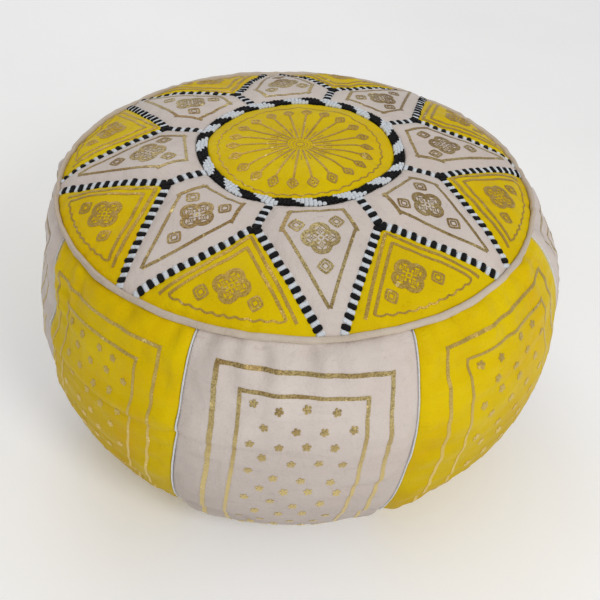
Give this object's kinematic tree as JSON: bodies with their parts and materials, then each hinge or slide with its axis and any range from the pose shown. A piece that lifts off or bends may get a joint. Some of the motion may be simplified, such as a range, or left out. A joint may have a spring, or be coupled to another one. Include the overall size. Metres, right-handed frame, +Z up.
{
  "type": "moroccan leather pouf",
  "caption": "Round stuffed leather pouf: laced star top with a plaited ring, piped rim, alternating natural and yellow side panels, zipped base.",
  "frame": {"origin": "centre of the flat base, on the floor plane", "axes": "+Z up; -Y is the front, along the axis of the first kite; +X is to the right seen from the front, and the zip runs along X"},
  "size_m": [0.53, 0.53, 0.3088],
  "materials": {
    "leather_natural": "pale natural goatskin, fine grain, soft sheen, gold foil tooling",
    "leather_yellow": "dyed yellow goatskin, slightly mottled, soft sheen, gold foil tooling",
    "leather_piping": "undyed leather cord cover, creased",
    "leather_edge": "raw white leather edge, matt",
    "leather_base": "undyed tan leather, matt",
    "thread_black": "black cotton and rayon thread",
    "thread_white": "white cotton and rayon thread",
    "gold_foil": "thin worn gold foil tooled into the leather",
    "zip_tape": "woven cotton tape",
    "zip_metal": "satin brass",
    "calico": "plain woven calico",
    "cotton_filling": "loose cotton waste, packed"
  },
  "bodies": {
    "root": {"top_medallion": "leather_yellow", "medallion_braid": "thread_black", "top_kite_1": "leather_natural", "top_kite_2": "leather_natural", "top_kite_3": "leather_natural", "top_kite_4": "leather_natural", "top_kite_5": "leather_natural", "top_kite_6": "leather_natural", "top_kite_7": "leather_natural", "top_kite_8": "leather_natural", "top_triangle_1": "leather_yellow", "top_triangle_2": "leather_yellow", "top_triangle_3": "leather_yellow", "top_triangle_4": "leather_yellow", "top_triangle_5": "leather_yellow", "top_triangle_6": "leather_yellow", "top_triangle_7": "leather_yellow", "top_triangle_8": "leather_yellow", "lacing_1": "thread_white", "lacing_2": "thread_white", "lacing_3": "thread_white", "lacing_4": "thread_white", "lacing_5": "thread_white", "lacing_6": "thread_white", "lacing_7": "thread_white", "lacing_8": "thread_white", "rim_piping": "leather_piping", "side_panel_1": "leather_natural", "side_welt_1": "leather_edge", "side_panel_2": "leather_yellow", "side_welt_2": "leather_edge", "side_panel_3": "leather_natural", "side_welt_3": "leather_edge", "side_panel_4": "leather_yellow", "side_welt_4": "leather_edge", "side_panel_5": "leather_natural", "side_welt_5": "leather_edge", "side_panel_6": "leather_yellow", "side_welt_6": "leather_edge", "side_panel_7": "leather_natural", "side_welt_7": "leather_edge", "side_panel_8": "leather_yellow", "side_welt_8": "leather_edge", "base_half_front": "leather_base", "base_half_rear": "leather_base", "zipper_tape_front": "zip_tape", "zipper_tape_rear": "zip_tape", "zipper_teeth_front": "zip_metal", "zipper_teeth_rear": "zip_metal", "zipper_stop_open_end": "zip_metal", "zipper_stop_closed_end": "zip_metal", "inner_bag_top": "calico", "inner_bag_base": "calico", "filling": "cotton_filling"},
    "slider": {"zipper_slider": "zip_metal"},
    "pull": {"zipper_pull": "zip_metal"}
  },
  "joints": [
    {"name": "slider_slide", "type": "slide", "parent": "root", "child": "slider", "axis": [-1, 0, 0], "range_m": [0, 0.2497], "deforming": ["zipper_teeth_front", "zipper_teeth_rear"]},
    {"name": "pull_swing", "type": "hinge", "parent": "slider", "child": "pull", "pos_m": [0.1337, 0, 0.00205], "axis": [0, -1, 0], "range_deg": [0, 150]}
  ]
}
